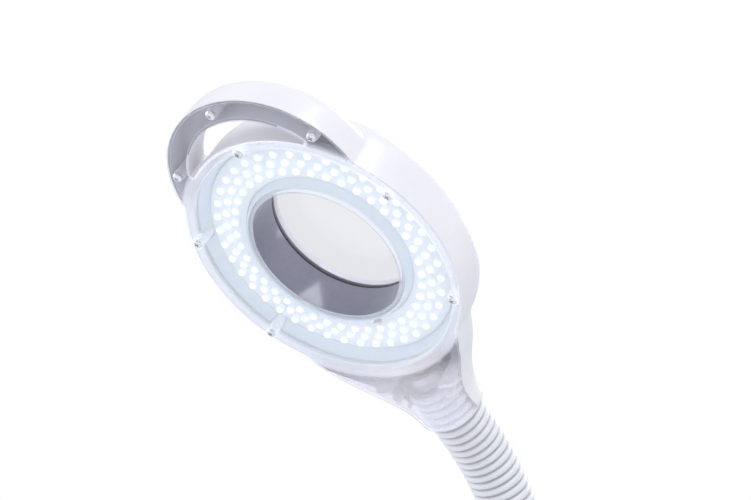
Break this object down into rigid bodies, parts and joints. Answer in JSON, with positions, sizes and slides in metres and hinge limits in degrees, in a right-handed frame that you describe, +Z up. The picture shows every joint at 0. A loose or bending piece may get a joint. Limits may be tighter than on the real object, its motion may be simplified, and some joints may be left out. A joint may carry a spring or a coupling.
{
  "type": "magnifying lamp",
  "caption": "Gooseneck table lamp with a round magnifying lens set in a ring of small lights behind a clear cover, and a loop handle on the head.",
  "frame": {"origin": "centre of the underside of the base, on the table", "axes": "+Z up along the foot of the gooseneck; the head reaches towards -Y; +X is across the head"},
  "size_m": [0.21, 0.3951, 0.5512],
  "materials": {
    "white_housing": "smooth moulded white plastic with a soft gloss",
    "clear_cover": "clear polished plastic, faintly hazy",
    "lens_glass": "polished clear optical glass",
    "grey_barrel": "glossy violet-grey plastic",
    "black_seal": "black rubber",
    "white_trim": "smooth white plastic",
    "tray_white": "white reflector plastic with a cool tint",
    "board_white": "white solder mask",
    "led_dome": "clear domed lamp",
    "screw_steel": "plated steel",
    "wire_red": "soft insulation",
    "wire_black": "soft insulation",
    "switch_shell": "fine satin plastic",
    "rocker_white": "smooth plastic",
    "sleeve_white": "soft white ribbed plastic",
    "core_metal": "turned metal",
    "nut_brass": "dull brass",
    "ferrule_steel": "plated steel",
    "base_white": "smooth moulded white plastic",
    "iron_weight": "rough casting",
    "plate_steel": "painted sheet",
    "pad_rubber": "fine-textured rubber",
    "inlet_black": "black moulded plastic",
    "board_green": "circuit board"
  },
  "bodies": {
    "base": {"base_pad": "pad_rubber", "base_plate": "plate_steel", "base_weight": "iron_weight", "base_cover": "base_white", "base_screws": "screw_steel", "neck_socket": "white_trim", "socket_flange": "ferrule_steel", "flange_screws": "screw_steel", "dc_inlet": "inlet_black", "driver_board": "board_green", "neck_sleeve_base": "sleeve_white", "neck_core_base": "core_metal"},
    "link_1": {"neck_sleeve_1": "sleeve_white", "neck_core_1": "core_metal"},
    "link_2": {"neck_sleeve_2": "sleeve_white", "neck_core_2": "core_metal"},
    "link_3": {"neck_sleeve_3": "sleeve_white", "neck_core_3": "core_metal"},
    "link_4": {"neck_sleeve_4": "sleeve_white", "neck_core_4": "core_metal"},
    "link_5": {"neck_sleeve_5": "sleeve_white", "neck_core_5": "core_metal"},
    "link_6": {"neck_sleeve_6": "sleeve_white", "neck_core_6": "core_metal"},
    "link_7": {"neck_sleeve_7": "sleeve_white", "neck_core_7": "core_metal"},
    "head": {"rear_housing": "white_housing", "front_cover": "clear_cover", "lens_barrel": "grey_barrel", "lens_gasket": "black_seal", "magnifier_lens": "lens_glass", "lens_retainer": "white_trim", "light_tray": "tray_white", "led_board": "board_white", "leds": "led_dome", "board_screws": "screw_steel", "cover_screws": "screw_steel", "handle_screws": "screw_steel", "wire_red": "wire_red", "wire_black": "wire_black", "switch_body": "switch_shell", "neck_ferrule": "ferrule_steel", "neck_nut": "nut_brass", "neck_sleeve_head": "sleeve_white", "neck_core_head": "core_metal"},
    "rocker": {"switch_rocker": "rocker_white"}
  },
  "joints": [
    {"name": "neck_yaw_1", "type": "hinge", "parent": "base", "child": "link_1", "pos_m": [0, 0, 0.09877], "axis": [0, 1, 0], "range_deg": [-22, 22]},
    {"name": "neck_pitch_2", "type": "hinge", "parent": "link_1", "child": "link_2", "pos_m": [0, 0, 0.14197], "axis": [1, 0, 0], "range_deg": [-22, 22]},
    {"name": "neck_yaw_3", "type": "hinge", "parent": "link_2", "child": "link_3", "pos_m": [0, 0, 0.18517], "axis": [0, 1, 0], "range_deg": [-22, 22]},
    {"name": "neck_pitch_4", "type": "hinge", "parent": "link_3", "child": "link_4", "pos_m": [0, 0, 0.22837], "axis": [1, 0, 0], "range_deg": [-22, 22]},
    {"name": "neck_yaw_5", "type": "hinge", "parent": "link_4", "child": "link_5", "pos_m": [0, -0.00116, 0.27153], "axis": [0, 0.993, 0.1183], "range_deg": [-20, 20]},
    {"name": "neck_pitch_6", "type": "hinge", "parent": "link_5", "child": "link_6", "pos_m": [0, -0.0118, 0.31327], "axis": [1, 0, 0], "range_deg": [-35, 15]},
    {"name": "neck_yaw_7", "type": "hinge", "parent": "link_6", "child": "link_7", "pos_m": [0, -0.03288, 0.35084], "axis": [0, 0.8007, 0.599], "range_deg": [-20, 20]},
    {"name": "neck_pitch_8", "type": "hinge", "parent": "link_7", "child": "head", "pos_m": [0, -0.06296, 0.38167], "axis": [1, 0, 0], "range_deg": [-30, 22]},
    {"name": "switch_rock", "type": "hinge", "parent": "head", "child": "rocker", "pos_m": [0, -0.11438, 0.44084], "axis": [0, 0.7859, -0.6184], "range_deg": [-9, 9]}
  ]
}
